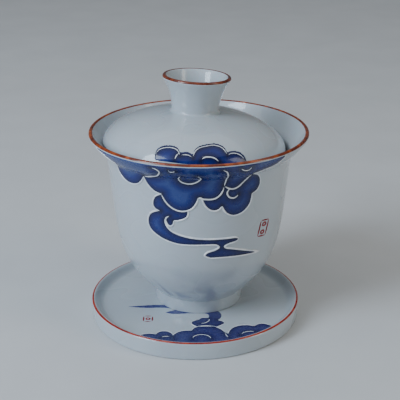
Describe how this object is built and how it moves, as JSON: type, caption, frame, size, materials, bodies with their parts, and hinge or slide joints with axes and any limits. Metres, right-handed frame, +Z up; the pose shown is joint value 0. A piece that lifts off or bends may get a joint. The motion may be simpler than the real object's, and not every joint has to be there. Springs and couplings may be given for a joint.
{
  "type": "gaiwan",
  "caption": "Lidded porcelain tea bowl with a flared rim and a knobbed dome lid, standing on a shallow round saucer, white with a raised blue cloud and thin iron-brown rim lines.",
  "frame": {"origin": "centre of the saucer's resting plane, on the table", "axes": "+Z up; +Y to the back, away from the painted cloud on the front of the bowl; +X to the right as seen from the front"},
  "size_m": [0.0948, 0.0988, 0.1077],
  "materials": {
    "white_glaze": "gloss, faintly blue white glaze",
    "iron_glaze": "iron-brown rim line, satin gloss",
    "cobalt_glaze": "raised cobalt-blue glaze, gloss, darker where it pools",
    "white_slip": "raised white slip line under glaze",
    "red_enamel": "flat red overglaze enamel",
    "bare_porcelain": "unglazed fired foot, matt"
  },
  "bodies": {
    "saucer": {"saucer": "white_glaze", "saucer_rim_glaze": "iron_glaze"},
    "bowl": {"bowl": "white_glaze", "bowl_rim_glaze": "iron_glaze"},
    "lid": {"lid": "white_glaze", "lid_knob": "white_glaze", "knob_rim_glaze": "iron_glaze"}
  },
  "joints": [
    {"name": "bowl_lift", "type": "slide", "parent": "saucer", "child": "bowl", "axis": [0, 0, 1], "range_m": [0, 0.06]},
    {"name": "lid_lift", "type": "slide", "parent": "bowl", "child": "lid", "axis": [0, 0, 1], "range_m": [0, 0.05]}
  ]
}
